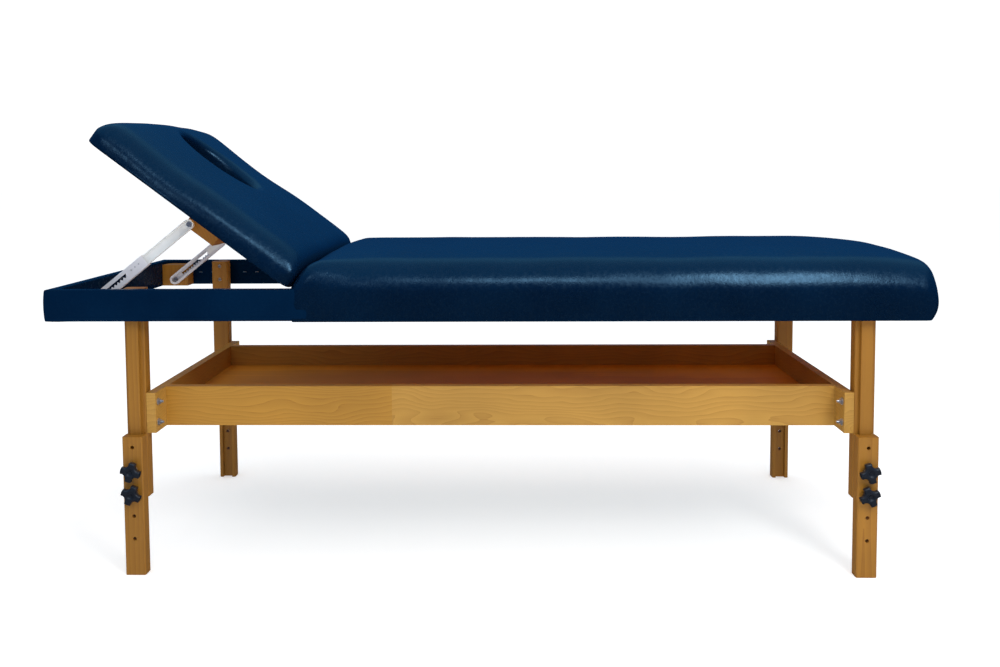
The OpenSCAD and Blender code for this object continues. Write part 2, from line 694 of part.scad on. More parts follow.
module head_cover() {
    outside = concat(
        [head_low_ring(hem_w + cover_t, 0), head_low_ring(0, 0)],
        head_rings(0),
        [level(hole_outline(0), knuckle_r), level(hole_outline(cover_t), knuckle_r)]);
    inside = flip(head_rings(cover_t));
    rings = concat(outside, inside,
        [head_low_ring(cover_t, cover_t), head_low_ring(hem_w + cover_t, cover_t)]);
    color(navy) raised() band(rings, len(outside) - 1, len(outside) + len(inside));
}

foam_low = knuckle_r + deck_t + slide_gap;
module head_foam() {
    rings = concat(
        [level(head_outline(head_out), foam_low)],
        head_rings(head_out),
        [level(hole_outline(head_out), foam_low)]);
    color(sponge) raised() band(rings, 0, 0);
}

batten_screw_r = 2.5;
batten_screw_l = 34;
batten_screw_shares = [-0.4, -0.14, 0.14, 0.4];
screw_head_h = 3;
board_end = head_over - hem_w - 2 * cover_t - slide_gap;
module head_board() {
    color(plywood) raised() difference() {
        translate([head_out - head_l, head_out - table_w / 2, knuckle_r]) linear_extrude(deck_t)
            round_rect(board_end + head_l - head_out, table_w - 2 * head_out, board_corner_r);
        translate([0, 0, knuckle_r - over]) linear_extrude(deck_t + 2 * over) polygon(hole_outline(head_out));
        for (t = batten_screw_shares) translate([-batten_s, t * batten_l, 0]) {
            cylinder(r = batten_screw_r + drill_gap, h = knuckle_r + deck_t + over);
            translate([0, 0, knuckle_r + deck_t - screw_head_h]) cylinder(r = 2 * batten_screw_r + drill_gap, h = screw_head_h + over);
        }
        for (s = [-1, 1], t = hinge_screw_shares)
            translate([-leaf_w / 2, s * hinge_y + t * hinge_l, 0])
                cylinder(r = hinge_screw_r + drill_gap, h = knuckle_r + deck_t - screw_head_h);
    }
}

module head_batten() {
    color(pine) raised() difference() {
        translate([-batten_s - batten_w / 2, -batten_l / 2, knuckle_r - batten_t])
            cube([batten_w, batten_l, batten_t]);
        for (t = batten_screw_shares)
            translate([-batten_s, t * batten_l, knuckle_r + deck_t - batten_screw_l - over])
                cylinder(r = batten_screw_r + drill_gap, h = batten_screw_l + over);
    }
}

module batten_screws() {
    color(zinc) raised() for (t = batten_screw_shares) translate([-batten_s, t * batten_l, 0]) {
        translate([0, 0, knuckle_r + deck_t - batten_screw_l])
            cylinder(r = batten_screw_r, h = batten_screw_l - screw_head_h / 2);
        translate([0, 0, knuckle_r + deck_t - screw_head_h])
            cylinder(r = 2 * batten_screw_r, h = screw_head_h);
    }
}

// Butt hinges: three knuckles on the frame leaf, two on the head leaf
barrel_r = knuckle_r - slide_gap;
knuckles = 5;
knuckle_l = hinge_l / knuckles;
module knuckle_set(first, r, gap) {
    for (i = [first:2:knuckles - 1])
        translate([0, i * knuckle_l - hinge_l / 2 + gap, 0]) rotate([-90, 0, 0]) cylinder(r = r, h = knuckle_l - 2 * gap);
}
module hinge_leaf(first) {
    difference() {
        union() {
            knuckle_set(first, barrel_r, slide_gap / 2);
            translate([-leaf_w, -hinge_l / 2, knuckle_r - leaf_t]) cube([leaf_w, hinge_l, leaf_t]);
            for (i = [first:2:knuckles - 1])
                translate([-barrel_r, i * knuckle_l - hinge_l / 2 + slide_gap / 2, 0])
                    cube([barrel_r - hinge_pin_r - steel_t / 2, knuckle_l - slide_gap, knuckle_r]);
        }
        knuckle_set(1 - first, barrel_r + leaf_t, -slide_gap / 2);
        translate([0, -hinge_l, 0]) rotate([-90, 0, 0]) cylinder(r = hinge_pin_r + run_gap, h = 2 * hinge_l);
        for (t = hinge_screw_shares) translate([-leaf_w / 2, t * hinge_l, 0])
            cylinder(r = hinge_screw_r + drill_gap, h = knuckle_r + over);
    }
}
module hinge_head_leaves() {
    color(zinc) raised() for (s = [-1, 1]) translate([0, s * hinge_y, 0]) hinge_leaf(1);
}
module hinge_frame_leaves() {
    color(zinc) for (s = [-1, 1]) translate([hinge_x, s * hinge_y, hinge_z])
        mirror([1, 0, -1]) hinge_leaf(0);
}
module hinge_pins() {
    color(zinc) for (s = [-1, 1]) {
        along_y(hinge_x, s * hinge_y - hinge_l / 2, hinge_z, hinge_pin_r, hinge_l);
        for (e = [-1, 1]) along_y(hinge_x, s * hinge_y + e * (hinge_l + leaf_t / 2) / 2 - leaf_t / 4, hinge_z, barrel_r, leaf_t / 2);
    }
}
module hinge_screw(l) {
    cylinder(r = hinge_screw_r, h = l);
    translate([0, 0, -leaf_t / 2]) cylinder(r1 = hinge_screw_r, r2 = 2 * hinge_screw_r, h = leaf_t / 2);
}
module hinge_frame_screws() {
    color(zinc) for (s = [-1, 1], t = hinge_screw_shares)
        translate([hinge_rail_x - leaf_t, s * hinge_y + t * hinge_l, hinge_z - leaf_w / 2])
            rotate([0, 90, 0]) hinge_screw(hinge_screw_l);
}
module hinge_head_screws() {
    color(zinc) raised() for (s = [-1, 1], t = hinge_screw_shares)
        translate([-leaf_w / 2, s * hinge_y + t * hinge_l, knuckle_r - leaf_t])
            hinge_screw(deck_t - screw_head_h);
}

// A strut lies along its own x axis from the lower pivot, tilted as the head section stands
module along_strut(front) {
    place_front(front) translate([low_pivot[0], 0, low_pivot[1]]) rotate([0, -strut_tilt, 0]) children();
}
// A flat strip in the strut's plane, from y up by t, with one round end about x = 0
module strut_strip(y, t, w, l) {
    translate([0, y + t, 0]) rotate([90, 0, 0]) linear_extrude(t) {
        circle(w / 2);
        translate([0, -w / 2]) square([l - w / 2, w]);
    }
}
tooth_w = 8.5;
tooth_h = 5;
window_low_share = 0.13;
window_hw_share = 0.17;
window_x = window_low_share * channel_l;
window_l = teeth * tooth_w;
window_hw = window_hw_share * channel_w;
tooth_shares = [[0.25, 0], [0.8, 1]];
module toothed_window() {
    polygon(concat(
        [[window_x, window_hw]],
        [for (i = [0:teeth - 1], s = tooth_shares)
            [window_x + (i + s[0]) * tooth_w, -window_hw + s[1] * tooth_h]],
        [[window_x + window_l, window_hw]]));
}
channel_hole_shares = [0.72, 0.78, 0.84];
module channel(front) {
    inner_w = channel_w - 2 * steel_t;
    cut = strut_y - channel_in_y;
    color(zinc) along_strut(front) difference() {
        strut_strip(channel_in_y, cut, channel_w, channel_l);
        strut_strip(channel_in_y + steel_t, cut - 2 * steel_t, inner_w, channel_l + over);
        strut_strip(channel_in_y - over, 2 * steel_t, inner_w - 2 * lip_w, channel_l + over);
        translate([0, strut_y + over, 0]) rotate([90, 0, 0]) {
            linear_extrude(2 * over + steel_t) toothed_window();
            for (t = channel_hole_shares) translate([t * channel_l, window_hw / 2, 0])
                cylinder(r = recess_share * pivot_r, h = 2 * over + steel_t);
            cylinder(r = pivot_r + run_gap, h = 2 * over + steel_t);
        }
    }
}
module front_channel() channel(1);
module back_channel() channel(0);

module along_slide(front) {
    along_strut(front) translate([strut_l, 0, 0]) mirror([1, 0, 0]) children();
}
module slide(front) {
    color(zinc) along_slide(front) difference() {
        strut_strip(slide_in_y, slide_out_y - slide_in_y, slide_w, slide_l);
        strut_strip(slide_in_y + steel_t, slide_out_y - slide_in_y, slide_w - 2 * steel_t, slide_l + over);
        translate([0, slide_in_y + steel_t + over, 0]) rotate([90, 0, 0])
            cylinder(r = pivot_r + drill_gap, h = 2 * over + steel_t);
    }
}
module front_slide() slide(1);
module back_slide() slide(0);

// The pawl sits inside the rail's lower end, behind the toothed window
pawl_l = 26;
pawl_share = 0.8;
module pawl(front) {
    x = slide_l * pawl_share;
    color(zinc) along_slide(front) {
        translate([x - pawl_l / 2, slide_in_y + steel_t, -slide_w / 4])
            cube([pawl_l, slide_out_y - slide_in_y - steel_t, slide_w / 2]);
    }
}
module front_pawl() pawl(1);
module back_pawl() pawl(0);

pivot_head_r = 2 * pivot_r;
module strut_low_screws() {
    color(zinc) for (s = [0, 1]) place_front(s) {
        along_y(low_pivot[0], slide_out_y, low_pivot[1], pivot_r, block_in_y + low_screw_in - slide_out_y);
        along_y(low_pivot[0], slide_out_y - pivot_r, low_pivot[1], pivot_head_r, pivot_r);
        translate([low_pivot[0], strut_y + slide_gap / 2, low_pivot[1]]) rotate([-90, 0, 0]) difference() {
            cylinder(r = pivot_head_r, h = strut_spacer_t - slide_gap / 2);
            translate([0, 0, -over]) cylinder(r = pivot_r, h = 3 * over);
        }
    }
}
// The upper screw rides on the rail and stops just short of the batten's end
module top_screw(front) {
    end_y = batten_l / 2 + slide_gap;
    color(zinc) along_slide(front) {
        along_y(0, end_y, 0, pivot_r, slide_in_y + steel_t - end_y);
        along_y(0, end_y, 0, bush_r, slide_in_y - end_y);
        along_y(0, slide_in_y + steel_t, 0, pivot_head_r, pivot_r);
    }
}
module front_top_screw() top_screw(1);
module back_top_screw() top_screw(0);

front_rail();
back_rail();
head_rail();
foot_rail();
hinge_rail();
mid_rail();
front_strut_block();
back_strut_block();
tray_cover();
tray_staples();
main_deck();
main_foam();
main_cover();
head_board();
head_foam();
head_cover();
head_batten();
batten_screws();
hinge_frame_leaves();
hinge_head_leaves();
hinge_pins();
hinge_frame_screws();
hinge_head_screws();
front_channel();
back_channel();
front_slide();
back_slide();
front_pawl();
back_pawl();
strut_low_screws();
front_top_screw();
back_top_screw();
head_front_post();
head_back_post();
foot_front_post();
foot_back_post();
post_screws();
head_front_leg();
head_back_leg();
foot_front_leg();
foot_back_leg();
head_front_bolts();
head_back_bolts();
foot_front_bolts();
foot_back_bolts();
head_front_upper_knob();
head_front_lower_knob();
head_back_upper_knob();
head_back_lower_knob();
foot_front_upper_knob();
foot_front_lower_knob();
foot_back_upper_knob();
foot_back_lower_knob();
shelf_front();
shelf_back();
shelf_head();
shelf_foot();
shelf_panel();
shelf_bolts();
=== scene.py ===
# A padded treatment table on wooden legs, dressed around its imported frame.
import json
import math
import random

import bmesh
import bpy
from mathutils import Matrix, Vector, noise


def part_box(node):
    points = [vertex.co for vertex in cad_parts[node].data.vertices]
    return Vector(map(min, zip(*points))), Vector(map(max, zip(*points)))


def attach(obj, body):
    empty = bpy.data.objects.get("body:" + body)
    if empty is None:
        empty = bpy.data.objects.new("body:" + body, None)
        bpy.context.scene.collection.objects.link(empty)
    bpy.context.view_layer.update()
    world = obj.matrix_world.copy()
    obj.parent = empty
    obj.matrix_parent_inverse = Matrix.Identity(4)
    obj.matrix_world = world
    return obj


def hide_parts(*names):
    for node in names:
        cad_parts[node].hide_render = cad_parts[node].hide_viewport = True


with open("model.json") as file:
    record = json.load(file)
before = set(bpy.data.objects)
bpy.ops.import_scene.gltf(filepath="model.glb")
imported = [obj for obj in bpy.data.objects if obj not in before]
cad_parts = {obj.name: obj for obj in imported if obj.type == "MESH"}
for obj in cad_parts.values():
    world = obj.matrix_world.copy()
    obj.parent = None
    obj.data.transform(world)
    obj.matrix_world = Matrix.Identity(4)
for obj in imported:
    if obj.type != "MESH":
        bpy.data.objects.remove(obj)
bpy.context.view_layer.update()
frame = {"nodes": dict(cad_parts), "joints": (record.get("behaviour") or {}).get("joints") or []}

# The camera stands in front at the height of the raised head section and looks slightly down
# and to the left. Its lens is shifted down, so that the feet are in the frame while the legs
# still look nearly upright.
EYE = Vector((0.062, -2.395, 0.871))
SENSOR_MM = 36
LENS_MM = 35.13
SHIFT_RIGHT = 0.0080
SHIFT_DOWN = 0.1016
SIGHT = 60
LOOK_DOWN = math.radians(3.65)
LOOK_LEFT = math.radians(1.39)
LEAN = math.radians(0.345)
camera_data = bpy.data.cameras.new("camera")
camera_data.sensor_width = SENSOR_MM
camera_data.lens = LENS_MM
camera_data.shift_x = SHIFT_RIGHT
camera_data.shift_y = -SHIFT_DOWN
camera_data.clip_end = SIGHT
camera = bpy.data.objects.new("camera", camera_data)
bpy.context.scene.collection.objects.link(camera)
aim = Matrix.Rotation(LOOK_LEFT, 4, "Z") @ Matrix.Rotation(math.pi / 2 - LOOK_DOWN, 4, "X")
camera.matrix_world = Matrix.Translation(EYE) @ aim @ Matrix.Rotation(-LEAN, 4, "Z")
bpy.context.scene.camera = camera
bpy.context.scene.view_settings.view_transform = "Standard"

# The floor is a plain white sheet that glows a little, so that it meets the white background
# without a line and still takes a faint shadow.
FLOOR_SIZE = 40
FLOOR_COLOUR = (0.90, 0.89, 0.87, 1)
FLOOR_GLOW = 0.435
floor_mesh = bmesh.new()
bmesh.ops.create_grid(floor_mesh, x_segments=1, y_segments=1, size=FLOOR_SIZE)
floor_data = bpy.data.meshes.new("floor")
floor_mesh.to_mesh(floor_data)
floor_mesh.free()
floor = bpy.data.objects.new("floor", floor_data)
bpy.context.scene.collection.objects.link(floor)
floor.visible_glossy = False
floor_paint = bpy.data.materials.new("floor_paint")
floor_paint.use_nodes = True
floor_shader = floor_paint.node_tree.nodes["Principled BSDF"]
floor_shader.inputs["Base Color"].default_value = FLOOR_COLOUR
floor_shader.inputs["Roughness"].default_value = 0.9
floor_shader.inputs["Specular IOR Level"].default_value = 0
floor_shader.inputs["Emission Color"].default_value = (1, 1, 1, 1)
floor_shader.inputs["Emission Strength"].default_value = FLOOR_GLOW
floor_data.materials.append(floor_paint)

# Behind everything is white. What lights the table and shows in its gloss is a studio that is
# dim below, blue at eye level and white at the ceiling, and bluer still in the gloss.
STUDIO = ((0.44, (0.008, 0.020, 0.045, 1)), (0.53, (0.016, 0.085, 0.19, 1)),
          (0.72, (0.08, 0.22, 0.38, 1)), (0.90, (1, 1, 1, 1)))
GLOSS_TINT = (0.14, 0.48, 0.78, 1)
BACKGROUND_GLOW = 1.1
world = bpy.data.worlds.new("studio")
bpy.context.scene.world = world
world.use_nodes = True
nodes = world.node_tree.nodes
link = world.node_tree.links.new
sky = nodes["Background"]
where = nodes.new("ShaderNodeTexCoord")
split = nodes.new("ShaderNodeSeparateXYZ")
ramp = nodes.new("ShaderNodeValToRGB")
level = nodes.new("ShaderNodeMapRange")
level.inputs["From Min"].default_value = -1
white = nodes.new("ShaderNodeBackground")
white.inputs["Color"].default_value = (1, 1, 1, 1)
white.inputs["Strength"].default_value = BACKGROUND_GLOW
seen = nodes.new("ShaderNodeLightPath")
either = nodes.new("ShaderNodeMixShader")
link(where.outputs["Generated"], split.inputs[0])
link(split.outputs["Z"], level.inputs["Value"])
link(level.outputs[0], ramp.inputs[0])
stops = ramp.color_ramp.elements
stops[0].position, stops[0].color = STUDIO[0]
stops[1].position, stops[1].color = STUDIO[-1]
for position, colour in STUDIO[1:-1]:
    stops.new(position).color = colour
glossed = nodes.new("ShaderNodeMixRGB")
glossed.blend_type = "MULTIPLY"
glossed.inputs["Color2"].default_value = GLOSS_TINT
link(seen.outputs["Is Glossy Ray"], glossed.inputs["Fac"])
link(ramp.outputs[0], glossed.inputs["Color1"])
link(glossed.outputs[0], sky.inputs["Color"])
link(seen.outputs["Is Camera Ray"], either.inputs["Fac"])
link(sky.outputs[0], either.inputs[1])
link(white.outputs[0], either.inputs[2])
link(either.outputs[0], nodes["World Output"].inputs["Surface"])


def lamp(name, place, aim, size, power, mirrored=True):
    """A soft oblong lamp that looks at a point, and may be left out of reflections."""
    data = bpy.data.lights.new(name, "AREA")
    data.energy = power
    data.shape = "RECTANGLE"
    data.size = size[0]
    data.size_y = size[1]
    obj = bpy.data.objects.new(name, data)
    obj.location = place
    obj.rotation_euler = (Vector(aim) - Vector(place)).to_track_quat("-Z", "Y").to_euler()
    obj.visible_glossy = mirrored
    bpy.context.scene.collection.objects.link(obj)


# A wide lamp overhead, one at the right for the shine along the cushion's shoulder, and two
# fainter ones for the middle and the left.
lamp("overhead_lamp", (0.3, -0.2, 3.4), (0, 0, 0.6), (3.6, 2.0), 26, mirrored=False)
lamp("right_lamp", (1.25, -2.2, 2.15), (0.6, -0.34, 0.64), (0.7, 1.2), 28)
lamp("middle_lamp", (0.15, -2.6, 2.3), (0.1, -0.34, 0.64), (0.9, 0.5), 9)
lamp("left_lamp", (-1.2, -3.2, 1.9), (-0.5, 0, 0.7), (0.5, 0.5), 3)


# The legs are bars of solid pine under clear lacquer: an upper post with a tongue, and a lower
# leg with a groove and a row of bolt holes. They keep their shapes from the frame. Each bar has
# its grain along its length and its year rings round a heart of its own.
PINE_LIGHT = (0.395, 0.170, 0.019, 1)
PINE_DARK = (0.210, 0.069, 0.007, 1)
SHELF_LIGHT = (0.56, 0.295, 0.055, 1)
SHELF_DARK = (0.31, 0.125, 0.018, 1)
RING_GAP = 0.0065
SHELF_RING_GAP = 0.009
RING_DRIFT = (0.05, 0.05, 0.05)
GRAIN_STRETCH = 0.045
RINGS_PER_PI = 10
FLAME_STRETCH = (0.35, 1.0, 1.0)
FIBRE_SHARE = 0.34
RING_SHARE = 0.62
LATE_WOOD_AT = 0.72
LATE_WOOD_DARK = 0.28
JOINT_SHIFT = (0.4, 0.012, 0.055)
JOINT_TINT = (0.94, 0.88, 0.79, 1)


def add(tree, kind, **inputs):
    """A node with some of its sockets set."""
    made = tree.nodes.new(kind)
    for key, value in inputs.items():
        made.inputs[key.replace("_", " ")].default_value = value
    return made


def add_maths(tree, kind, operation, factor):
    """A node that multiplies what comes in by a factor or compares it with one."""
    made = tree.nodes.new(kind)
    made.operation = operation
    made.inputs[1].default_value = factor
    return made


def add_tint(tree, first_at, first, last_at, last):
    """A ramp from one colour to another."""
    made = tree.nodes.new("ShaderNodeValToRGB")
    ends = made.color_ramp.elements
    ends[0].position, ends[0].color = first_at, first
    ends[1].position, ends[1].color = last_at, last
    return made


def new_paint(name):
    """A material with its tree, its shader and the object's own coordinates to lay it by."""
    paint = bpy.data.materials.new(name)
    paint.use_nodes = True
    tree = paint.node_tree
    place = tree.nodes.new("ShaderNodeTexCoord").outputs["Object"]
    return paint, tree, tree.nodes["Principled BSDF"], place


def pine(name, along, centre, light=PINE_LIGHT, dark=PINE_DARK, gap=RING_GAP,
         joint=None, gloss=0.3, figure=0.0):
    """Lacquered pine with its grain along an axis and its rings round a centre.
    A finger joint at a place along X parts it from a darker length with other rings,
    and figure bends the rings into flames."""
    paint, tree, shader, place = new_paint(name)
    link = tree.links.new
    lay = tree.nodes.new("ShaderNodeMapping")
    stretch = [1.0, 1.0, 1.0]
    stretch["XYZ".index(along)] = GRAIN_STRETCH
    lay.inputs["Scale"].default_value = stretch
    lay.inputs["Location"].default_value = [-c * k for c, k in zip(centre, stretch)]
    link(place, lay.inputs["Vector"])
    if joint is not None:
        ends = tree.nodes.new("ShaderNodeSeparateXYZ")
        before = add_maths(tree, "ShaderNodeMath", "LESS_THAN", joint)
        shift = add_maths(tree, "ShaderNodeVectorMath", "MULTIPLY_ADD", JOINT_SHIFT)
        link(place, ends.inputs[0])
        link(ends.outputs["X"], before.inputs[0])
        link(before.outputs[0], shift.inputs[0])
        link(lay.outputs[0], shift.inputs[2])
        lay = shift

    drift = add(tree, "ShaderNodeTexNoise", Scale=7.0, Detail=3.0, Roughness=0.55)
    push = add_maths(tree, "ShaderNodeVectorMath", "MULTIPLY_ADD", RING_DRIFT)
    link(lay.outputs[0], drift.inputs["Vector"])
    link(drift.outputs["Color"], push.inputs[0])
    link(lay.outputs[0], push.inputs[2])
    if figure:
        swirl_lay = add(tree, "ShaderNodeMapping", Scale=FLAME_STRETCH)
        swirl = add(tree, "ShaderNodeTexNoise", Scale=15.0, Detail=1.5)
        bend = (0, figure, figure)
        flame = add_maths(tree, "ShaderNodeVectorMath", "MULTIPLY_ADD", bend)
        link(place, swirl_lay.inputs["Vector"])
        link(swirl_lay.outputs[0], swirl.inputs["Vector"])
        link(swirl.outputs["Color"], flame.inputs[0])
        link(push.outputs[0], flame.inputs[2])
        push = flame
    rings = add(tree, "ShaderNodeTexWave", Scale=math.pi / (RINGS_PER_PI * gap),
                Distortion=1.4, Detail=2.0, Detail_Scale=2.0)
    rings.wave_type = "RINGS"
    rings.rings_direction = along
    rings.wave_profile = "SAW"
    fibre = add(tree, "ShaderNodeTexNoise", Scale=420.0, Detail=2.0, Roughness=0.6)
    cloud = add(tree, "ShaderNodeTexNoise", Scale=3.5, Detail=2.0)
    link(push.outputs[0], rings.inputs["Vector"])
    link(lay.outputs[0], fibre.inputs["Vector"])
    link(place, cloud.inputs["Vector"])

    tint = add_tint(tree, 0.15, light, 1.0, dark)
    late = tint.color_ramp.elements.new(LATE_WOOD_AT)
    late.color = [a * (1 - LATE_WOOD_DARK) + b * LATE_WOOD_DARK for a, b in zip(light, dark)]
    mixed = add_maths(tree, "ShaderNodeMath", "MULTIPLY_ADD", FIBRE_SHARE)
    scaled = add_maths(tree, "ShaderNodeMath", "MULTIPLY", RING_SHARE)
    link(rings.outputs["Fac"], scaled.inputs[0])
    link(fibre.outputs["Fac"], mixed.inputs[0])
    link(scaled.outputs[0], mixed.inputs[2])
    link(mixed.outputs[0], tint.inputs[0])
    shade = add(tree, "ShaderNodeMapRange", From_Min=0.3, From_Max=0.7, To_Min=0.86, To_Max=1.08)
    tone = tree.nodes.new("ShaderNodeHueSaturation")
    link(cloud.outputs["Fac"], shade.inputs["Value"])
    link(shade.outputs[0], tone.inputs["Value"])
    link(tint.outputs[0], tone.inputs["Color"])
    if joint is not None:
        deeper = add(tree, "ShaderNodeMixRGB", Color2=JOINT_TINT)
        deeper.blend_type = "MULTIPLY"
        richer = add(tree, "ShaderNodeMapRange", To_Min=1.0, To_Max=1.02)
        link(before.outputs[0], deeper.inputs["Fac"])
        link(tint.outputs[0], deeper.inputs["Color1"])
        link(deeper.outputs[0], tone.inputs["Color"])
        link(before.outputs[0], richer.inputs["Value"])
        link(richer.outputs[0], tone.inputs["Saturation"])
    link(tone.outputs[0], shader.inputs["Base Color"])
    shader.inputs["Roughness"].default_value = 0.45
    shader.inputs["Specular IOR Level"].default_value = gloss
    bump = add(tree, "ShaderNodeBump", Strength=0.12, Distance=0.0006)
    link(mixed.outputs[0], bump.inputs["Height"])
    link(bump.outputs[0], shader.inputs["Normal"])
    return paint


def repaint(node, paint):
    """Gives a frame node a finish in all its slots."""
    obj = frame["nodes"][node]
    obj.data.materials.clear()
    obj.data.materials.append(paint)


ENDS = ("head", "foot")
SIDES = ("front", "back")
random.seed(4)
for end in ENDS:
    for side in SIDES:
        for part in ("post", "leg"):
            low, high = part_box(f"{end}_{side}_{part}")
            centre = (
                (low[0] + high[0]) / 2 + random.uniform(-0.03, 0.03),
                (low[1] + high[1]) / 2 + random.choice((-1, 1)) * random.uniform(0.02, 0.05),
                random.uniform(0, 3),
            )
            repaint(f"{end}_{side}_{part}", pine(f"pine_{end}_{side}_{part}", "Z", centre))

# The shelf is four pine boards round a plywood panel. The boards are flat sawn, with flames in
# their grain, and the long front one is finger jointed from two lengths.
JOINT_X = -0.215
FLAMES = 0.07
HEART_IN = 0.03
SHELF_BOARDS = {"shelf_front": "X", "shelf_back": "X", "shelf_head": "Y", "shelf_foot": "Y"}
for board, along in SHELF_BOARDS.items():
    low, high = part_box(board)
    middle = [(a + b) / 2 for a, b in zip(low, high)]
    middle["XYZ".index(along)] += random.uniform(1, 4)
    middle[2] += random.uniform(-0.02, 0.02)
    middle[1 if along == "X" else 0] += HEART_IN
    joint = JOINT_X if board == "shelf_front" else None
    repaint(board, pine(f"pine_{board}", along, middle, SHELF_LIGHT, SHELF_DARK, SHELF_RING_GAP,
                        joint, figure=FLAMES))

# The panel is plywood with a redder veneer on its upper side alone. Below it is painted a dark
# grey, a painted shade that keeps the veneer's red out of the light bounced on to the floor.
VENEER_LIGHT = (0.66, 0.29, 0.036, 1)
VENEER_DARK = (0.47, 0.19, 0.023, 1)
VENEER_RING_GAP = 0.03
UNDERSIDE_PAINTED_SHADE = (0.26, 0.25, 0.23, 1)
veneer = pine("veneer", "X", (2.0, 0.1, 0.9), VENEER_LIGHT, VENEER_DARK, VENEER_RING_GAP,
              gloss=0.08)
veneer_tree = veneer.node_tree
panel_colour = veneer_tree.nodes["Principled BSDF"].inputs["Base Color"]
panel_place = veneer_tree.nodes.new("ShaderNodeTexCoord")
panel_height = veneer_tree.nodes.new("ShaderNodeSeparateXYZ")
panel_low, panel_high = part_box("shelf_panel")
half_way = (panel_low[2] + panel_high[2]) / 2
below = add_maths(veneer_tree, "ShaderNodeMath", "LESS_THAN", half_way)
# faces below half way take the painted shade grey in place of the veneer
faces = add(veneer_tree, "ShaderNodeMixRGB", Color2=UNDERSIDE_PAINTED_SHADE)
link = veneer_tree.links.new
link(panel_place.outputs["Object"], panel_height.inputs[0])
link(panel_height.outputs["Z"], below.inputs[0])
link(below.outputs[0], faces.inputs["Fac"])
link(panel_colour.links[0].from_socket, faces.inputs["Color1"])
link(faces.outputs[0], panel_colour)
repaint("shelf_panel", veneer)

# The frame is plain pine rails under the vinyl, with blocks that carry the struts and a batten
# under the head section. The two cushions' boards are plywood. Little of them shows.
for rail in ("front_rail", "back_rail"):
    low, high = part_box(rail)
    repaint(rail, pine(f"pine_{rail}", "X", (1.3, low[1] - 0.04, low[2] - 0.02)))
for rail in ("head_rail", "foot_rail", "hinge_rail", "mid_rail", "head_batten"):
    low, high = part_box(rail)
    repaint(rail, pine(f"pine_{rail}", "Y", (low[0] - 0.03, 2.1, low[2] + 0.02)))
for side in SIDES:
    low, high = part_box(f"{side}_strut_block")
    heart = (low[0] + 0.02, low[1] - 0.03, 1.2)
    repaint(f"{side}_strut_block", pine(f"pine_{side}_block", "Z", heart))
for board in ("main_deck", "head_board"):
    repaint(board, pine(f"veneer_{board}", "X", (2.0, 0.3, 0.9), VENEER_LIGHT, VENEER_DARK,
                        VENEER_RING_GAP))

# The main cushion is a slab of foam on a plywood deck, wrapped in navy vinyl that is pulled down
# over the rails to just past their lower edge. Its top is crowned, its foot end slopes and is
# well padded, and its head end leans back to make room for the head section, less at the corners.
VINYL_COLOUR = (0.0004, 0.0060, 0.020, 1)
VINYL_WORN = (0.0006, 0.0090, 0.028, 1)
VINYL_SHEEN = (0.3, 0.65, 1.0, 1)
CROWN_EDGE_DROP = 0.019
CROWN_FOOT_DROP = 0.012
CROWN_CURVE = 2.4
FOOT_SLOPE = 0.200
FOOT_LEAN = 0.001
FOOT_TUCK = 0.015
ROUND_W = 0.060
END_ROUND_W = 0.036
ROUND_H = 0.078
CORNER_ROUND_W = 0.036
CORNER_ROUND_H = 0.045
CORNER_REACH = 0.14
CORNER_R = 0.020
HEAD_END_CORNER_R = CORNER_R / 3
ROUNDED_FROM = 1.25
FOOT_BELLY = 0.008
HEM_DROP = 0.0015
FULLNESS = 2.3
SIDE_BELLY = 0.003
BELLY_SHARE = 0.6
LEAN_LESS = 0.3
LEAN_LESS_FROM = 0.8
LEAN_LESS_OVER = 0.2
SLOW_WAVE = (7.0, 0.0022)
FAST_WAVE = (23.0, 0.0008)
SIDE_WAVE = (11.0, 0.0016)
SIDE_WAVE_PLACE = Vector((3, 0, 0))
EDGE_CUTS = 7
EDGE_CROWDING = 1.4
LENGTH_CUTS = 44
WIDTH_CUTS = 20
ROUND_CUTS = 8
HEM_CUTS = (0.003, 0.012, 0.024)
VINYL_T = 0.0015
hinge = Vector(next(j for j in frame["joints"] if j["name"] == "head_tilt")["pos_m"])
HEAD_TILT = math.radians(37)
END_LEAN = math.tan(HEAD_TILT + math.radians(1))
main_low, main_high = (Vector(c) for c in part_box("main_cover"))
rail_foot, rail_top = (corner[2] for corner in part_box("front_rail"))
belly_z = rail_foot + BELLY_SHARE * (rail_top - rail_foot)
half_w = main_high.y
top_edge_z = main_high.z - CROWN_EDGE_DROP


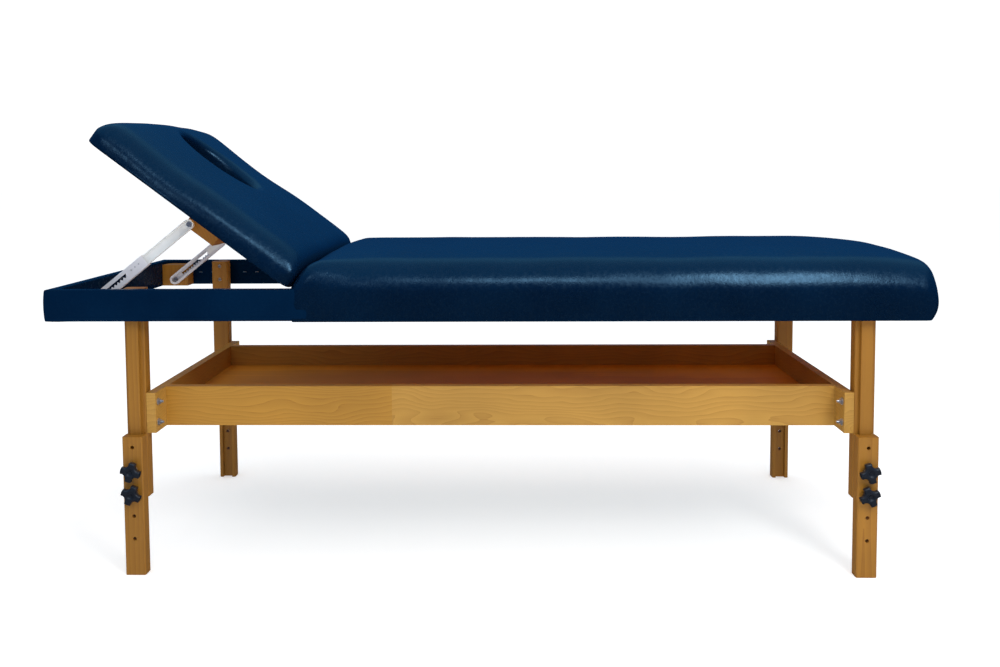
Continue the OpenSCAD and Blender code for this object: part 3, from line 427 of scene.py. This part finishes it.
def vinyl(name, shine=0.5, depth=1.0):
    """Upholstery vinyl: deep navy with a pebbled grain, fine creases and a soft gloss.
    Shine sets the gloss. Depth scales the colour, and above 1 it is a painted sheen:
    lighter colour in place of gloss that is taken out.
    """
    paint, tree, shader, place = new_paint(name)
    link = tree.links.new
    pebble = add(tree, "ShaderNodeTexVoronoi", Scale=170.0)
    pebble.feature = "DISTANCE_TO_EDGE"
    plateau = add(tree, "ShaderNodeMapRange", From_Max=0.5)
    plateau.interpolation_type = "SMOOTHSTEP"
    crease = add(tree, "ShaderNodeTexNoise", Scale=120.0, Detail=2.0, Roughness=0.5)
    sway = add(tree, "ShaderNodeTexNoise", Scale=5.5, Detail=3.0, Roughness=0.5)
    for pattern in (pebble, crease, sway):
        link(place, pattern.inputs["Vector"])
    link(pebble.outputs["Distance"], plateau.inputs["Value"])

    # depth lifts both colours; the tray's 1.5 is a painted sheen in place of its gloss
    deep, worn = ([c * depth for c in colour[:3]] + [1] for colour in (VINYL_COLOUR, VINYL_WORN))
    tint = add_tint(tree, 0.35, deep, 0.75, worn)
    link(sway.outputs["Fac"], tint.inputs[0])
    link(tint.outputs[0], shader.inputs["Base Color"])
    gloss = add(tree, "ShaderNodeMapRange", From_Min=0.35, From_Max=0.7, To_Min=0.20, To_Max=0.32)
    link(crease.outputs["Fac"], gloss.inputs["Value"])
    link(gloss.outputs[0], shader.inputs["Roughness"])
    shader.inputs["Specular IOR Level"].default_value = shine
    shader.inputs["Specular Tint"].default_value = VINYL_SHEEN
    fine = add(tree, "ShaderNodeBump", Strength=0.16, Distance=0.0004)
    coarse = add(tree, "ShaderNodeBump", Strength=0.4, Distance=0.0006)
    soft = add(tree, "ShaderNodeBump", Strength=0.5, Distance=0.006)
    link(plateau.outputs[0], fine.inputs["Height"])
    link(crease.outputs["Fac"], coarse.inputs["Height"])
    link(fine.outputs[0], coarse.inputs["Normal"])
    link(sway.outputs["Fac"], soft.inputs["Height"])
    link(coarse.outputs[0], soft.inputs["Normal"])
    link(soft.outputs[0], shader.inputs["Normal"])
    return paint


navy_vinyl = vinyl("navy_vinyl")


def ease(t):
    """Goes from 0 to 1 without a kink at either end."""
    t = min(1.0, max(0.0, t))
    return t * t * (3 - 2 * t)


def main_fall(x, y):
    """How far the top lies under its crown."""
    foot = min(1.0, max(0.0, (x - main_high.x + FOOT_SLOPE) / FOOT_SLOPE))
    return CROWN_EDGE_DROP * (abs(y) / half_w) ** CROWN_CURVE + CROWN_FOOT_DROP * foot**2


def soft_length(v):
    """Length of an offset measured so that a rounded edge runs softly into the flat beside it."""
    return (abs(v.x) ** FULLNESS + abs(v.y) ** FULLNESS + abs(v.z) ** FULLNESS) ** (1 / FULLNESS)


def unevenness(p, rate, depth):
    """Slow or quick waves of the surface, by how often they come and how deep they go."""
    return depth * noise.noise(p * rate)


def main_place(p):
    """Moves a point of a plain block on to the cushion's rounded, crowned surface."""
    tight = ease(1 - (p.x - main_low.x) / CORNER_REACH)
    round_w = ROUND_W + (CORNER_ROUND_W - ROUND_W) * tight
    round_h = ROUND_H + (CORNER_ROUND_H - ROUND_H) * tight
    rise = ease(ROUNDED_FROM * (p.z - main_low.z) / (main_high.z - main_low.z))
    corner = CORNER_R if p.x > 0 else HEAD_END_CORNER_R
    side_r = corner + (round_w - corner) * rise
    end_r = corner + (END_ROUND_W - corner) * rise
    inner = Vector((
        min(main_high.x - end_r, max(main_low.x + end_r, p.x)),
        min(half_w - side_r, max(side_r - half_w, p.y)),
        min(main_high.z - round_h, p.z),
    ))
    off = Vector(((p.x - inner.x) / end_r, (p.y - inner.y) / side_r, (p.z - inner.z) / round_h))
    if soft_length(off) > 1:
        off /= soft_length(off)
    q = inner + Vector((off.x * end_r, off.y * side_r, off.z * round_h))
    share = (q.z - main_low.z) / (main_high.z - main_low.z)
    q.z -= main_fall(q.x, q.y) * share + HEM_DROP * (1 - share)
    back = (main_high.x - q.x) / (main_high.x - main_low.x)
    upright = LEAN_LESS * ease((abs(q.y) / half_w - LEAN_LESS_FROM) / LEAN_LESS_OVER)
    lean = END_LEAN * (1 - upright)
    q.x += back * max(0.0, q.z - rail_top - VINYL_T) * lean
    above = (q.z - belly_z) / (top_edge_z - belly_z)
    below = (belly_z - q.z) / (belly_z - main_low.z)
    inward = FOOT_LEAN * above**2 if above > 0 else FOOT_TUCK * below**2
    q.x -= (inward - FOOT_BELLY) * ease((p.x - main_high.x + FOOT_SLOPE) / FOOT_SLOPE)
    free = ease(share * 3)
    belly = math.copysign(SIDE_BELLY, q.y) * free
    q.y += belly * ease((1 - share) * 2) * ease(abs(q.y) / half_w * 4 - 3)
    q.z += (unevenness(q, *SLOW_WAVE) + unevenness(q, *FAST_WAVE)) * free
    q.y += unevenness(q + SIDE_WAVE_PLACE, *SIDE_WAVE) * free
    return q


def steps(low, high, r, count):
    """Places of cuts between two ends, closer together within r of each end."""
    shares = [(i / EDGE_CUTS) ** EDGE_CROWDING for i in range(1, EDGE_CUTS + 1)]
    near = [low + r * share for share in shares]
    far = [high - r * share for share in shares]
    inside = [low + r + (high - low - 2 * r) * i / count for i in range(1, count)]
    return near + inside + far


def new_piece(name, mesh, paint, body):
    """Turns a bmesh into a smooth shaded object in the scene that rides on a body."""
    data = bpy.data.meshes.new(name)
    for face in mesh.faces:
        face.smooth = True
    mesh.to_mesh(data)
    mesh.free()
    obj = bpy.data.objects.new(name, data)
    bpy.context.scene.collection.objects.link(obj)
    data.materials.append(paint)
    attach(obj, body)
    return obj


def finish_with(obj, kind, **settings):
    """Adds a modifier with its settings."""
    made = obj.modifiers.new(kind.lower(), kind)
    for key, value in settings.items():
        setattr(made, key, value)


main_mesh = bmesh.new()
bmesh.ops.create_cube(main_mesh, size=1)
bmesh.ops.scale(main_mesh, vec=main_high - main_low, verts=main_mesh.verts)
bmesh.ops.translate(main_mesh, vec=(main_low + main_high) / 2, verts=main_mesh.verts)
seam_x = main_low.x + HEAD_END_CORNER_R
heights = [main_low.z + up for up in HEM_CUTS]
heights += [belly_z, belly_z + 0.015, rail_top + VINYL_T / 2, rail_top + 0.012]
heights += [main_high.z - ROUND_H * i / ROUND_CUTS for i in range(1, ROUND_CUTS + 1)]
cuts = [(Vector((1, 0, 0)), x)
        for x in steps(main_low.x, main_high.x, END_ROUND_W, LENGTH_CUTS) + [seam_x]]
cuts += [(Vector((0, 1, 0)), y) for y in steps(-half_w, half_w, ROUND_W, WIDTH_CUTS)]
cuts += [(Vector((0, 0, 1)), z) for z in heights]
for normal, where_cut in cuts:
    everything = main_mesh.verts[:] + main_mesh.edges[:] + main_mesh.faces[:]
    bmesh.ops.bisect_plane(main_mesh, geom=everything, plane_co=normal * where_cut, plane_no=normal)
unseen = [f for f in main_mesh.faces if f.calc_center_median().z < main_low.z + 1e-5
          or (f.calc_center_median().x < seam_x and f.calc_center_median().z < rail_top)]
bmesh.ops.delete(main_mesh, geom=unseen, context="FACES")
for v in main_mesh.verts:
    v.co = main_place(v.co)
bmesh.ops.recalc_face_normals(main_mesh, faces=main_mesh.faces)
root = "frame_and_shelf"
main_vinyl = new_piece("main_cushion", main_mesh, navy_vinyl, root)
finish_with(main_vinyl, "SUBSURF", levels=1, render_levels=1)
finish_with(main_vinyl, "SOLIDIFY", thickness=VINYL_T, offset=-1)
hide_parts("main_cover", "main_foam")

# The head cushion is the same vinyl over foam on its own board, with an oval face hole whose
# soft rim rolls down into a vinyl lined well. It is modelled flat and then tilted as it stands.
HEAD_EDGE_DROP = 0.013
HEAD_END_DROP = 0.003
HEAD_ROUND_W = 0.058
HEAD_ROUND_H = 0.055
HEAD_END_W = 0.046
HEAD_END_H = 0.046
HEAD_CORNER_R = 0.026
HOLE_SAG = 0.010
HOLE_SAG_REACH = 0.12
HEAD_WAVE = (8.0, 0.002)
HEAD_LENGTH = 0.530
HEAD_OVER = 0.002
KNUCKLE_R = 0.004
HEAD_CROWN = 0.076
HOLE_AT = 0.358
HOLE_LENGTH = 0.216
HOLE_WIDTH = 0.152
HOLE_RIM_W = 0.026
HOLE_RIM_H = 0.022
HEM = 0.014
HEM_RINGS = ((HEM, 0), (0.004, 0), (0.001, 0), (0, 0.001), (0, 0.006))
WELL_RINGS = (0.030, 0.002)
LEAST_CORNER_R = 0.004
HINGE_REACH = 0.012
HINGE_SPREAD = 0.30
HINGE_CLEAR = 0.0006
BOARD_CLEAR = 0.0005
AROUND = 144
TOP_RINGS = 28
stand = Matrix.Translation(hinge) @ Matrix.Rotation(HEAD_TILT, 4, "Y")
head_mid = Vector(((HEAD_OVER - HEAD_LENGTH) / 2, 0))
head_half = Vector(((HEAD_OVER + HEAD_LENGTH) / 2, half_w))
hole_mid = Vector((-HOLE_AT, 0))
hole_half = Vector((HOLE_LENGTH / 2, HOLE_WIDTH / 2))


def head_outline(turn, inset):
    """A point on the head cushion's outline, drawn in by inset."""
    a = head_half.x - inset
    b = head_half.y - inset
    r = max(HEAD_CORNER_R - inset, LEAST_CORNER_R)
    reach = Vector((math.cos(turn) * a, math.sin(turn) * b))
    reach *= 1 / max(abs(reach.x) / a, abs(reach.y) / b)
    corner = Vector((min(a - r, max(r - a, reach.x)), min(b - r, max(r - b, reach.y))))
    off = reach - corner
    if off.length > r:
        off.normalize()
        off *= r
    return head_mid + corner + off


def hole_edge(turn):
    """A point on the edge of the face hole."""
    return hole_mid + Vector((math.cos(turn) * hole_half.x, math.sin(turn) * hole_half.y))


def rounding(distance, width, depth):
    """How far a rounded edge has fallen at a distance from the edge."""
    share = 1 - min(1.0, max(0.0, distance / width))
    return depth * (1 - (1 - share**FULLNESS) ** (1 / FULLNESS))


def head_height(p):
    """Height of the head cushion's top at a place in its own plane."""
    lengthwise = abs(p.x - head_mid.x) / head_half.x
    crown = KNUCKLE_R + HEAD_CROWN - HEAD_EDGE_DROP * (abs(p.y) / half_w) ** CROWN_CURVE
    crown -= HEAD_END_DROP * lengthwise**4
    end_drop = rounding(head_half.x - abs(p.x - head_mid.x), HEAD_END_W, HEAD_END_H)
    side_drop = rounding(half_w - abs(p.y), HEAD_ROUND_W, HEAD_ROUND_H)
    crown -= min(HEAD_ROUND_H, (end_drop**3 + side_drop**3) ** (1 / 3))
    from_hole = p - hole_mid
    oval = Vector((from_hole.x / hole_half.x, from_hole.y / hole_half.y)).length
    crown -= HOLE_SAG * math.exp(-((from_hole.x / HOLE_SAG_REACH) ** 2)) * (abs(p.y) / half_w)
    crown += unevenness(p.to_3d(), *HEAD_WAVE)
    return crown - rounding(from_hole.length * (1 - 1 / oval), HOLE_RIM_W, HOLE_RIM_H)


def flat_ring(inset, z):
    """A ring of the outline at one height, lifted over the hinges at its lower end."""
    def place(turn):
        p = head_outline(turn, inset)
        over_hinge = p.x > -HINGE_REACH and abs(p.y) < HINGE_SPREAD
        return Vector((p.x, p.y, KNUCKLE_R + HINGE_CLEAR if over_hinge else z))
    return place


def top_ring(share):
    """A ring of the top, a share of the way in from the outline to the hole."""
    def place(turn):
        p = head_outline(turn, 0).lerp(hole_edge(turn), share)
        return Vector((p.x, p.y, head_height(p)))
    return place


def well_ring(z):
    """A ring of the hole's well at one height."""
    return lambda turn: hole_edge(turn).to_3d() + Vector((0, 0, z))


under = KNUCKLE_R - VINYL_T - BOARD_CLEAR
rings = [flat_ring(inset, under + up) for inset, up in HEM_RINGS]
rings += [top_ring(0.5 - 0.5 * math.cos(math.pi * i / TOP_RINGS)) for i in range(TOP_RINGS + 1)]
rings += [well_ring(z) for z in WELL_RINGS]
head_mesh = bmesh.new()
bmesh.ops.create_circle(head_mesh, segments=AROUND, radius=1)
turns = [2 * math.pi * (i + 0.5) / AROUND for i in range(AROUND)]
loop = head_mesh.verts[:]
for v, turn in zip(loop, turns):
    v.co = rings[0](turn)
edges = head_mesh.edges[:]
for ring in rings[1:]:
    grown = bmesh.ops.extrude_edge_only(head_mesh, edges=edges)["geom"]
    new = {v for v in grown if isinstance(v, bmesh.types.BMVert)}
    loop = [next(e.other_vert(v) for e in v.link_edges if e.other_vert(v) in new) for v in loop]
    for v, turn in zip(loop, turns):
        v.co = ring(turn)
    edges = [e for e in grown
             if isinstance(e, bmesh.types.BMEdge) and all(v in new for v in e.verts)]
bmesh.ops.recalc_face_normals(head_mesh, faces=head_mesh.faces)
bmesh.ops.transform(head_mesh, matrix=stand, verts=head_mesh.verts)
head_vinyl = new_piece("head_cushion", head_mesh, navy_vinyl, "head_section")
finish_with(head_vinyl, "SOLIDIFY", thickness=VINYL_T, offset=-1)
finish_with(head_vinyl, "SUBSURF", levels=1, render_levels=1)
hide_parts("head_cover", "head_foam")

# The tray under the head section is bare rails wrapped in the navy vinyl, which is drawn round
# all four faces, pleated at the two corners and stapled inside, with a small lump of gathered
# vinyl under each corner. The band runs on under the main cushion's vinyl. Here the vinyl has
# almost no gloss, and its colour is made half again lighter as a painted sheen in its place.
BAND_CORNER = 0.004
BAND_ROUND = 0.0036
BAND_OUT = 0.002
BAND_PAST = 0.030
BAND_PRESSED = 0.0006
PLEAT_REACH = 0.055
PLEAT_FAN = 13
PLEAT_DEPTH = 0.0011
PLEAT_LIFT = 0.0006
BAND_WAVE = (21.0, 0.0009)
TOP_FROM = 0.060
OUTER_LIP = 0.01
LUMP_DROP = 0.0028
LUMP_IN = 0.02
LUMP_REACH = 0.018
rail_low, rail_high = (Vector(c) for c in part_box("front_rail"))
band_low, band_high = (Vector(c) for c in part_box("tray_cover"))
band_depth = rail_high.y - rail_low.y + 2 * VINYL_T
band_height = band_high.z - band_low.z
corner_steps = [math.pi / 2 * i / 8 for i in range(9)]
side_steps = [i / 26 for i in range(27)]
end_steps = [i / 16 for i in range(1, 16)]
band_section = [(0.004, 0), (0.0012, 0.0008), (0, 0.0026)]
for i in range(1, 6):
    band_section.append((-BAND_OUT * math.sin(math.pi * i / 6), band_height * i / 6))
for degrees in (0, 22, 45, 68, 90):
    lean = math.radians(degrees)
    band_section.append((BAND_ROUND * (1 - math.cos(lean)),
                         band_height - BAND_ROUND * (1 - math.sin(lean))))
band_section.append((band_depth / 2, band_height))
for degrees in (90, 45, 0):
    lean = math.radians(degrees)
    band_section.append((band_depth - BAND_ROUND / 2 * (1 - math.cos(lean)),
                         band_height - BAND_ROUND / 2 * (1 - math.sin(lean))))
band_section += [(band_depth, 0.030), (band_depth, 0.002), (band_depth - VINYL_T, 0)]


def band_path(inset):
    """The way round the tray's outer face, drawn in by inset, from the back to the front."""
    start = band_high.x + BAND_PAST
    end_x = band_low.x + inset
    side_y = band_high.y - inset
    r = max(BAND_CORNER - inset, 0.0)
    way = [Vector((start + (end_x + r - start) * t, side_y)) for t in side_steps]
    for a in corner_steps[1:]:
        way.append(Vector((end_x + r - r * math.sin(a), side_y - r + r * math.cos(a))))
    for t in end_steps:
        way.append(Vector((end_x, (side_y - r) * (1 - 2 * t))))
    for a in corner_steps:
        way.append(Vector((end_x + r - r * math.cos(a), r - side_y - r * math.sin(a))))
    for t in side_steps[1:]:
        way.append(Vector((end_x + r + (start - end_x - r) * t, -side_y)))
    return way


def pleats(p, up):
    """Shallow folds on top of the vinyl, fanned round the tray's two outer corners."""
    corner = Vector((band_low.x, math.copysign(band_high.y, p.y)))
    off = p - corner
    near = ease(1 - off.length / PLEAT_REACH)
    fan = math.sin(math.atan2(abs(off.y), abs(off.x) + 0.0001) * PLEAT_FAN)
    slack = unevenness(Vector((p.x, p.y, up)), *BAND_WAVE)
    return near * (PLEAT_DEPTH * fan + PLEAT_LIFT) + slack


band_mesh = bmesh.new()
columns = []
for inset, up in band_section:
    column = []
    for p in band_path(inset):
        z = band_low.z + up
        if up > TOP_FROM:
            z += pleats(p, up) / 4 - BAND_PRESSED
        elif up == 0 and inset < OUTER_LIP:
            lump = Vector((band_low.x + LUMP_IN, math.copysign(band_high.y, p.y)))
            z -= LUMP_DROP * ease(1 - (p - lump).length / LUMP_REACH)
        column.append(band_mesh.verts.new((p.x, p.y, z)))
    columns.append(column)
for column, next_column in zip(columns, columns[1:] + columns[:1]):
    for a, b, c, d in zip(column, column[1:], next_column[1:], next_column):
        band_mesh.faces.new((a, b, c, d))
bmesh.ops.remove_doubles(band_mesh, verts=band_mesh.verts, dist=0.00001)
bmesh.ops.recalc_face_normals(band_mesh, faces=band_mesh.faces)
# the band's vinyl: gloss nearly off, colour lifted half again as a painted sheen
band = new_piece("tray_band", band_mesh, vinyl("tray_vinyl_painted_sheen", shine=0.03, depth=1.5), root)
finish_with(band, "SUBSURF", levels=1, render_levels=1)
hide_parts("tray_cover")

# Struts, hinges, screws and staples are zinc plated steel.
ZINC = (0.62, 0.62, 0.65, 1)


def zinc(name, colour, rough, bare=0.85):
    """Zinc plate with a cloudy gloss. It shines as metal as far as it is bare."""
    paint, tree, shader, place = new_paint(name)
    link = tree.links.new
    cloud = add(tree, "ShaderNodeTexNoise", Scale=90.0, Detail=4.0, Roughness=0.6)
    gloss = add(tree, "ShaderNodeMapRange", To_Min=rough - 0.04, To_Max=rough + 0.08)
    tint = add_tint(tree, 0.0, [c * 0.95 for c in colour[:3]] + [1], 1.0, colour)
    link(place, cloud.inputs["Vector"])
    link(cloud.outputs["Fac"], gloss.inputs["Value"])
    link(gloss.outputs[0], shader.inputs["Roughness"])
    link(cloud.outputs["Fac"], tint.inputs[0])
    link(tint.outputs[0], shader.inputs["Base Color"])
    shader.inputs["Metallic"].default_value = bare
    return paint


strut_steel = zinc("strut_steel", (0.93, 0.91, 0.94, 1), 0.32, 0.25)
screw_steel = zinc("screw_steel", ZINC, 0.34)
slide_steel = zinc("slide_steel", (0.97, 0.97, 0.95, 1), 0.5, 0.12)
for side in SIDES:
    repaint(f"{side}_channel", strut_steel)
    repaint(f"{side}_slide", slide_steel)
    repaint(f"{side}_pawl", screw_steel)
    repaint(f"{side}_top_screw", screw_steel)
fasteners = ["strut_low_screws", "post_screws", "shelf_bolts", "tray_staples", "batten_screws",
             "hinge_frame_leaves", "hinge_head_leaves", "hinge_pins", "hinge_frame_screws",
             "hinge_head_screws"]
fasteners += [f"{end}_{side}_bolts" for end in ENDS for side in SIDES]
for name in fasteners:
    repaint(name, screw_steel)

# The star knobs are moulded near-black plastic with a faint grain.
knob_plastic, knob_tree, knob_shader, knob_place = new_paint("knob_plastic")
knob_shader.inputs["Base Color"].default_value = (0.012, 0.015, 0.022, 1)
knob_shader.inputs["Roughness"].default_value = 0.36
knob_grain = add(knob_tree, "ShaderNodeTexNoise", Scale=900.0, Detail=2.0)
knob_bump = add(knob_tree, "ShaderNodeBump", Strength=0.3, Distance=0.0002)
link = knob_tree.links.new
link(knob_place, knob_grain.inputs["Vector"])
link(knob_grain.outputs["Fac"], knob_bump.inputs["Height"])
link(knob_bump.outputs[0], knob_shader.inputs["Normal"])

# Each knob is one moulding: a collar, four blunt lobes with rounded edges and a sunk hub. The
# upper and lower knobs of a leg stand at slightly different turns.
KNOB_R = 0.0215
LOBES = 4
SCALLOP_R = 0.0095
SCALLOP_AT = 0.0228
LOBE_ROUND = 0.0006
KNOB_TURNS = {"upper": math.radians(74), "lower": math.radians(66)}
KNOB_AROUND = 96


def star_radius(turn, grow=0.0):
    """Reach of the knob's outline from its axis, a circle with a scallop between two lobes."""
    away = (turn / (2 * math.pi / LOBES)) % 1.0 - 0.5
    a = away * 2 * math.pi / LOBES
    r = SCALLOP_R - grow
    side = SCALLOP_AT * math.sin(a)
    full = KNOB_R + grow
    if abs(side) >= r:
        return full
    cut = SCALLOP_AT * math.cos(a) - math.sqrt(r * r - side * side)
    if cut >= full:
        return full
    return full - (full - cut) ** 2 / (full - cut + LOBE_ROUND)


def skin_rings(rings, around):
    """Skins closed rings one after the other and closes both ends."""
    made = bmesh.new()
    turns = [2 * math.pi * i / around for i in range(around)]
    rows = [[made.verts.new(ring(turn)) for turn in turns] for ring in rings]
    for row, next_row in zip(rows, rows[1:]):
        for i in range(around):
            made.faces.new((row[i], row[i - 1], next_row[i - 1], next_row[i]))
    made.faces.new(rows[0])
    made.faces.new(rows[-1])
    bmesh.ops.recalc_face_normals(made, faces=made.faces)
    return made


KNOB_PROFILE = (
    ("round", 0.0104, 0.0), ("round", 0.0104, 0.0048), ("star", -0.0030, 0.0051),
    ("star", -0.0010, 0.0055), ("star", 0.0, 0.0068), ("star", 0.0, 0.0146),
    ("star", -0.0004, 0.0162), ("star", -0.0013, 0.0174), ("star", -0.0030, 0.0179),
    ("round", 0.0082, 0.0180), ("round", 0.0070, 0.0178), ("round", 0.0062, 0.0170),
    ("round", 0.0058, 0.0155), ("round", 0.0040, 0.0150),
)
for end in ENDS:
    for side in SIDES:
        for level_name in ("upper", "lower"):
            node = f"{end}_{side}_{level_name}_knob"
            low, high = (Vector(c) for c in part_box(node))
            middle = (low + high) / 2
            out = -1 if side == "front" else 1
            foot_y = high.y if side == "front" else low.y
            first = KNOB_TURNS[level_name]
            if end == "foot":
                first = math.pi - first
            knob_rings = []
            for kind, reach, up in KNOB_PROFILE:
                def ring(turn, kind=kind, reach=reach, up=up):
                    r = star_radius(turn, reach) if kind == "star" else reach
                    return (middle.x + r * math.cos(turn + first), foot_y + out * up,
                            middle.z + r * math.sin(turn + first))
                knob_rings.append(ring)
            skin = skin_rings(knob_rings, KNOB_AROUND)
            knob = new_piece(f"star_{node}", skin, knob_plastic, f"{node}_body")
            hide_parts(node)
